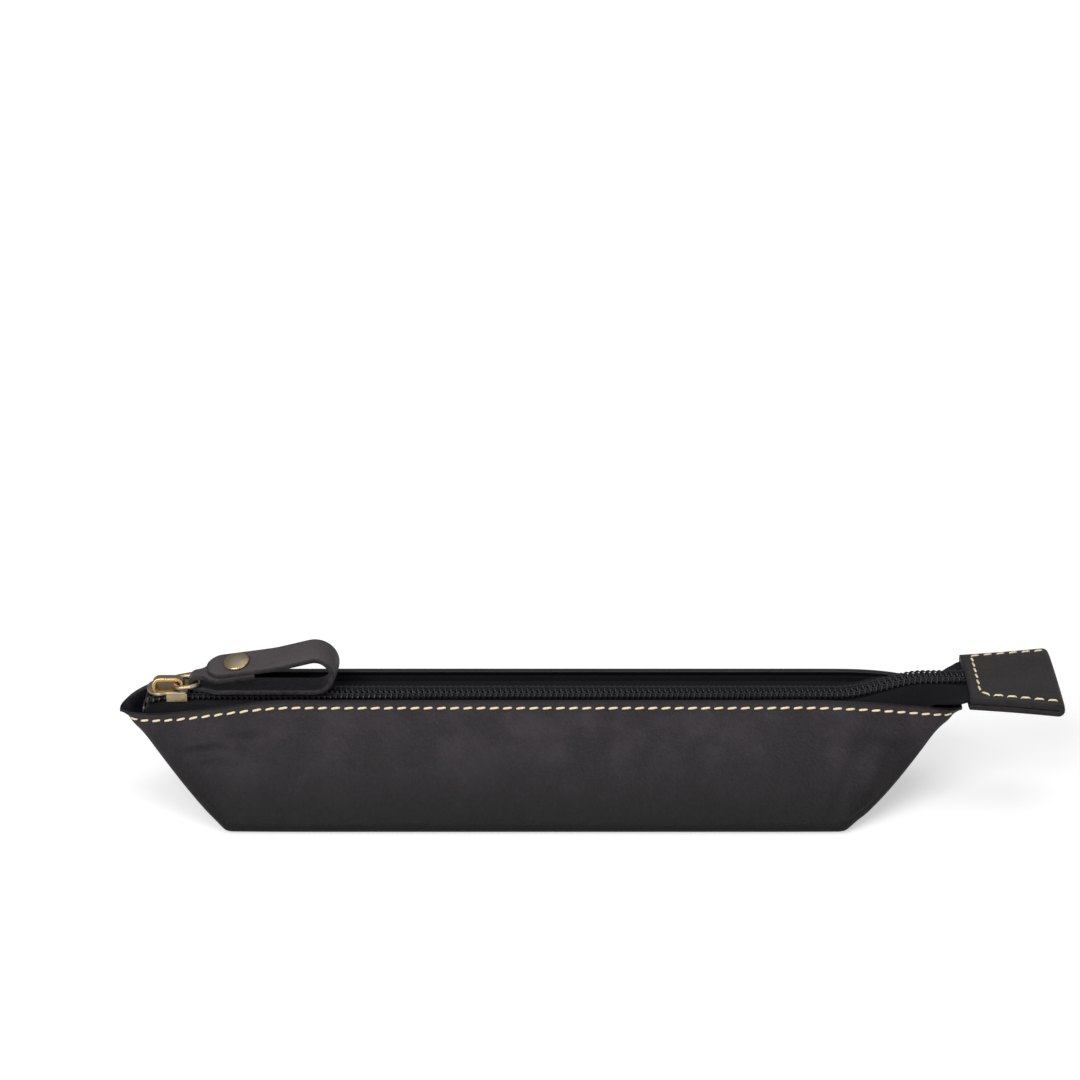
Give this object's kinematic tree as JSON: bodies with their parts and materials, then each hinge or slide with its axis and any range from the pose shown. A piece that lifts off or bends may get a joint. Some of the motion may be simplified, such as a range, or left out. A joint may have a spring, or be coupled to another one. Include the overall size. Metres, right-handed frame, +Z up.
{
  "type": "zip pen case",
  "caption": "Boat-shaped black leather pen case with a boxed base, a coil zip, a brass slider with ring and riveted leather pull, cream stitching and a stitched end tab.",
  "frame": {"origin": "middle of the base's underside, on the surface the case stands on", "axes": "+X along the case towards the tab on the zip's tail, -Y towards the front panel, +Z up"},
  "size_m": [0.2167, 0.0544, 0.0355],
  "materials": {
    "leather": "fine grain, soft sheen",
    "strap_leather": "smooth, soft sheen",
    "tape": "woven",
    "coil": "satin nylon",
    "cord": "twisted",
    "brass": "antique, worn bright on the edges",
    "thread": "waxed thread",
    "seam_thread": "waxed thread"
  },
  "bodies": {
    "case": {"front_panel": "leather", "back_panel": "leather", "end_tab": "leather", "front_tape_hem": "tape", "rear_tape_hem": "tape", "front_tape_tail": "tape", "rear_tape_tail": "tape", "front_coil_tail": "coil", "rear_coil_tail": "coil", "front_core_tail": "cord", "rear_core_tail": "cord", "front_rim_thread": "thread", "back_rim_thread": "thread", "tab_thread": "thread", "base_seam_thread": "seam_thread", "left_end_thread": "seam_thread", "right_end_thread": "seam_thread", "left_corner_thread": "seam_thread", "right_corner_thread": "seam_thread"},
    "front_flap": {"front_tape": "tape", "front_coil": "coil", "front_coil_core": "cord"},
    "rear_flap": {"rear_tape": "tape", "rear_coil": "coil", "rear_coil_core": "cord"},
    "slider": {"slider_body": "brass", "slider_bridge": "brass"},
    "ring": {"pull_ring": "brass"},
    "strap": {"pull_strap": "strap_leather", "rivet_cap": "brass", "rivet_base": "brass"}
  },
  "joints": [
    {"name": "slider_slide", "type": "slide", "parent": "case", "child": "slider", "axis": [1, 0, 0], "range_m": [0, 0.122]},
    {"name": "front_flap_fold", "type": "hinge", "parent": "case", "child": "front_flap", "pos_m": [0, -0.00725, 0.0228], "axis": [1, 0, 0], "range_deg": [0, 85], "deforming": ["front_tape", "front_coil", "front_coil_core"]},
    {"name": "rear_flap_fold", "type": "hinge", "parent": "case", "child": "rear_flap", "pos_m": [0, 0.00725, 0.0228], "axis": [-1, 0, 0], "range_deg": [0, 85], "deforming": ["rear_tape", "rear_coil", "rear_coil_core"]},
    {"name": "ring_swing", "type": "hinge", "parent": "slider", "child": "ring", "pos_m": [-0.08425, 0, 0.02657], "axis": [0, -1, 0], "range_deg": [0, 110]},
    {"name": "strap_swing", "type": "hinge", "parent": "ring", "child": "strap", "pos_m": [-0.07925, 0, 0.02717], "axis": [0, -1, 0], "range_deg": [0, 60]}
  ],
  "couplings": [
    {"joint": "front_flap_fold", "follows": "slider_slide", "rad_per_m": 12.16},
    {"joint": "rear_flap_fold", "follows": "slider_slide", "rad_per_m": 12.16}
  ]
}
